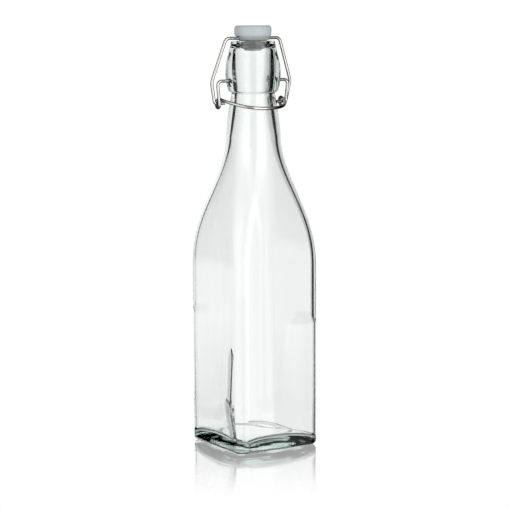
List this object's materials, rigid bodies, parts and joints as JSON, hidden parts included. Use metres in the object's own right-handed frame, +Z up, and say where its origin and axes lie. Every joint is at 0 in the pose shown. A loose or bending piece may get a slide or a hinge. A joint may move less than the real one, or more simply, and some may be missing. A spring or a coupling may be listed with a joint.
{
  "type": "swing top bottle",
  "caption": "Square clear glass bottle with a long shoulder and a round neck, closed by a stopper on a sprung wire bail and lever.",
  "frame": {"origin": "centre of the base, on the surface the bottle stands on", "axes": "+Z up the bottle to the stopper, X along the closure's hinges, the lever's handle in front at -Y"},
  "size_m": [0.0618, 0.0618, 0.27],
  "materials": {
    "clear_glass": "smooth, faint green tint",
    "white_plastic": "slightly translucent, moulded",
    "grey_rubber": "soft, slightly translucent",
    "steel_wire": "bright drawn wire"
  },
  "bodies": {
    "bottle": {"bottle": "clear_glass"},
    "lever": {"lever_wire": "steel_wire"},
    "bail": {"bail_wire": "steel_wire"},
    "stopper": {"stopper": "white_plastic", "gasket": "grey_rubber"}
  },
  "joints": [
    {"name": "lever_hinge", "type": "hinge", "parent": "bottle", "child": "lever", "pos_m": [0, 0, 0.2353], "axis": [-1, 0, 0], "range_deg": [0, 90]},
    {"name": "bail_hinge", "type": "hinge", "parent": "lever", "child": "bail", "pos_m": [0, 0.0032, 0.2211], "axis": [-1, 0, 0], "range_deg": [-58.95, 0]},
    {"name": "stopper_hinge", "type": "hinge", "parent": "bail", "child": "stopper", "pos_m": [0, 0, 0.2621], "axis": [-1, 0, 0], "range_deg": [-31.05, 0]}
  ],
  "couplings": [
    {"joint": "bail_hinge", "follows": "lever_hinge", "ratio": -0.655},
    {"joint": "stopper_hinge", "follows": "lever_hinge", "ratio": -0.345}
  ]
}
